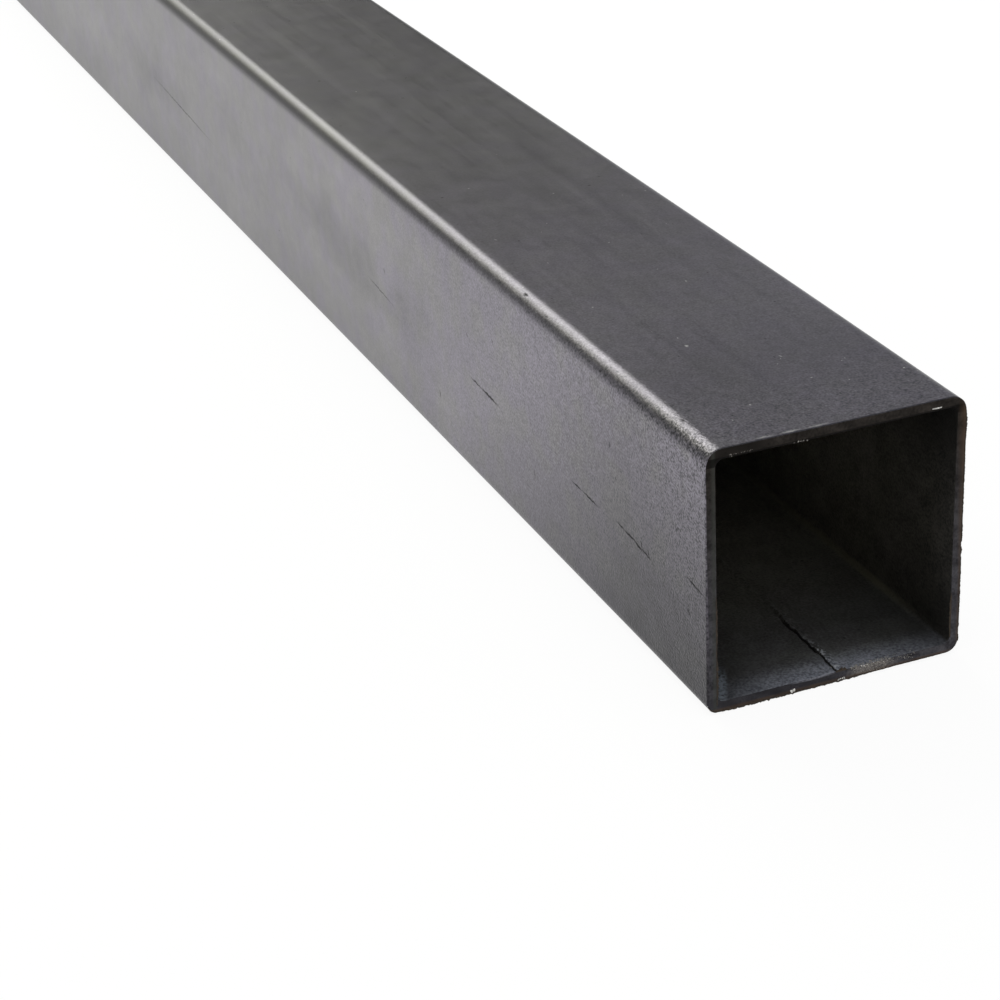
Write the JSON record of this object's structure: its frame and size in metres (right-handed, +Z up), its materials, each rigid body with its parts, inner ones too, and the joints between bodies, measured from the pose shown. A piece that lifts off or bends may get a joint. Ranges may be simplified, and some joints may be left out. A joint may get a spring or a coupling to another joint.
{
  "type": "square metal tube",
  "caption": "Straight square hollow steel section with rounded corners, a thin wall, a weld ridge along the inside of one wall and square sawn ends.",
  "frame": {"origin": "centre of the underside, halfway along the tube", "axes": "+X along the tube, +Z up, +Y across it; the weld ridge is inside the wall that faces down, a little to the +Y side of its middle"},
  "size_m": [1, 0.04, 0.04],
  "materials": {
    "mill_steel": "satin"
  },
  "bodies": {
    "root": {"square_tube": "mill_steel"}
  },
  "joints": []
}
